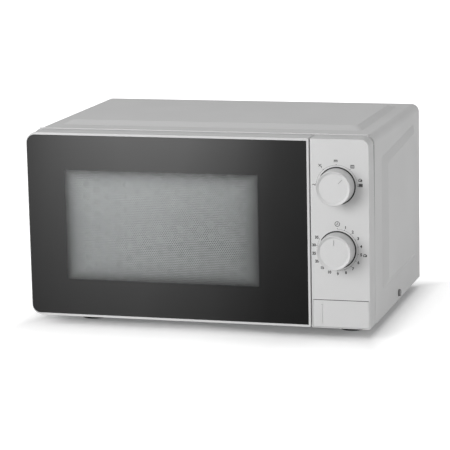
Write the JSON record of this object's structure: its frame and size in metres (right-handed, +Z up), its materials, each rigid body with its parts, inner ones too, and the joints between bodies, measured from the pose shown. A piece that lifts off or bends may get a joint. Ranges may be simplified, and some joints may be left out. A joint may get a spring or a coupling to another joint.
{
  "type": "microwave oven",
  "caption": "Compact free-standing microwave oven with a glass-faced hinged door, two rotary controls over a wide door button, a turntable and its working parts inside.",
  "frame": {"origin": "on the standing plane, under the middle of the oven's bounding box", "axes": "+X to the viewer's right as the door is faced, +Y from the door towards the back, +Z up"},
  "size_m": [0.4606, 0.3426, 0.261],
  "materials": {
    "cabinet_paint": "fine silver-grey paint",
    "silver_plastic": "silver-grey moulded",
    "zinc_steel": "zinc-plated sheet",
    "cavity_enamel": "light grey enamel",
    "door_steel": "black paint",
    "black_plastic": "black moulded",
    "foot_rubber": "black rubber",
    "door_glass": "tinted, clear window area",
    "clear_film": "clear sheet",
    "tray_glass": "clear pressed glass",
    "lamp_glass": "clear bulb",
    "white_plastic": "natural white moulded",
    "bright_steel": "bright plated steel",
    "mica": "mica sheet",
    "copper": "enamelled copper wire",
    "core_steel": "laminated steel, varnished",
    "aluminium": "plain",
    "circuit_board": "green laminate"
  },
  "bodies": {
    "cabinet": {"outer_cabinet": "cabinet_paint", "control_panel": "silver_plastic", "base_plate": "zinc_steel", "rear_panel": "zinc_steel", "upper_hinge_bracket": "zinc_steel", "lower_hinge_bracket": "zinc_steel", "hinge_pins": "zinc_steel", "waveguide": "zinc_steel", "timer_plate": "zinc_steel", "capacitor_clamp": "zinc_steel", "magnetron_yoke": "zinc_steel", "lamp_socket": "zinc_steel", "cavity": "cavity_enamel", "front_plate": "cavity_enamel", "cord_inlet": "black_plastic", "latch_board": "black_plastic", "microswitches": "black_plastic", "magnetron_filter_box": "black_plastic", "fan_shroud": "black_plastic", "thermal_cutouts": "black_plastic", "hv_diode": "black_plastic", "feet": "foot_rubber", "oven_lamp": "lamp_glass", "power_selector": "white_plastic", "timer_unit": "white_plastic", "side_screws": "bright_steel", "rear_screws": "bright_steel", "lever_pin": "bright_steel", "button_spring": "bright_steel", "timer_bell": "bright_steel", "turntable_motor": "bright_steel", "waveguide_cover": "mica", "transformer_windings": "copper", "transformer_core": "core_steel", "fan_motor": "core_steel", "magnetron_core": "aluminium", "capacitor": "aluminium", "filter_board": "circuit_board"},
    "door": {"door_frame": "silver_plastic", "door_glass": "door_glass", "door_panel": "door_steel", "choke_cover": "black_plastic", "inner_window": "clear_film", "hook_spring": "bright_steel"},
    "hook": {"door_hook": "white_plastic"},
    "button": {"open_button": "silver_plastic"},
    "lever": {"open_lever": "white_plastic"},
    "power_control": {"power_knob": "silver_plastic", "power_shaft": "bright_steel"},
    "timer_control": {"timer_knob": "silver_plastic", "timer_shaft": "bright_steel"},
    "turntable": {"drive_coupler": "white_plastic", "motor_shaft": "bright_steel"},
    "tray": {"glass_tray": "tray_glass"},
    "ring": {"roller_ring": "white_plastic"},
    "rear_roller": {"roller_rear": "white_plastic"},
    "left_roller": {"roller_left": "white_plastic"},
    "right_roller": {"roller_right": "white_plastic"},
    "fan": {"fan_blade": "white_plastic", "fan_shaft": "bright_steel"}
  },
  "joints": [
    {"name": "door_hinge", "type": "hinge", "parent": "cabinet", "child": "door", "pos_m": [-0.21875, -0.13125, 0.136], "axis": [0, 0, -1], "range_deg": [0, 100]},
    {"name": "hook_slide", "type": "slide", "parent": "door", "child": "hook", "axis": [0, 0, 1], "range_m": [-0.003, 0], "stiffness_N_per_m": 500, "deforming": ["hook_spring"]},
    {"name": "button_press", "type": "slide", "parent": "cabinet", "child": "button", "axis": [0, 1, 0], "range_m": [0, 0.005], "stiffness_N_per_m": 600, "deforming": ["button_spring"]},
    {"name": "lever_pivot", "type": "hinge", "parent": "cabinet", "child": "lever", "pos_m": [0.125, -0.11075, 0.0615], "axis": [1, 0, 0], "range_deg": [0, 19]},
    {"name": "power_turn", "type": "hinge", "parent": "cabinet", "child": "power_control", "pos_m": [0.18465, -0.14925, 0.1975], "axis": [0, 1, 0], "range_deg": [-135, 45]},
    {"name": "timer_turn", "type": "hinge", "parent": "cabinet", "child": "timer_control", "pos_m": [0.18465, -0.14925, 0.1165], "axis": [0, 1, 0], "range_deg": [0, 300]},
    {"name": "turntable_spin", "type": "hinge", "parent": "cabinet", "child": "turntable", "pos_m": [-0.04575, 0.02175, 0.034], "axis": [0, 0, 1], "continuous": true},
    {"name": "tray_lift", "type": "slide", "parent": "turntable", "child": "tray", "axis": [0, 0, 1], "range_m": [0, 0.06]},
    {"name": "ring_spin", "type": "hinge", "parent": "cabinet", "child": "ring", "pos_m": [-0.04575, 0.02175, 0.0413], "axis": [0, 0, 1], "continuous": true},
    {"name": "rear_roller_spin", "type": "hinge", "parent": "ring", "child": "rear_roller", "pos_m": [-0.04575, 0.10975, 0.0413], "axis": [0, 1, 0], "continuous": true},
    {"name": "left_roller_spin", "type": "hinge", "parent": "ring", "child": "left_roller", "pos_m": [-0.12196, -0.02225, 0.0413], "axis": [-0.866, -0.5, 0], "continuous": true},
    {"name": "right_roller_spin", "type": "hinge", "parent": "ring", "child": "right_roller", "pos_m": [0.03046, -0.02225, 0.0413], "axis": [0.866, -0.5, 0], "continuous": true},
    {"name": "fan_spin", "type": "hinge", "parent": "cabinet", "child": "fan", "pos_m": [0.1661, 0.15535, 0.1555], "axis": [0, 1, 0], "continuous": true}
  ],
  "couplings": [
    {"joint": "lever_pivot", "follows": "button_press", "rad_per_m": 65.691},
    {"joint": "ring_spin", "follows": "turntable_spin", "ratio": 0.5},
    {"joint": "rear_roller_spin", "follows": "turntable_spin", "ratio": -6.2857},
    {"joint": "left_roller_spin", "follows": "turntable_spin", "ratio": -6.2857},
    {"joint": "right_roller_spin", "follows": "turntable_spin", "ratio": -6.2857}
  ]
}
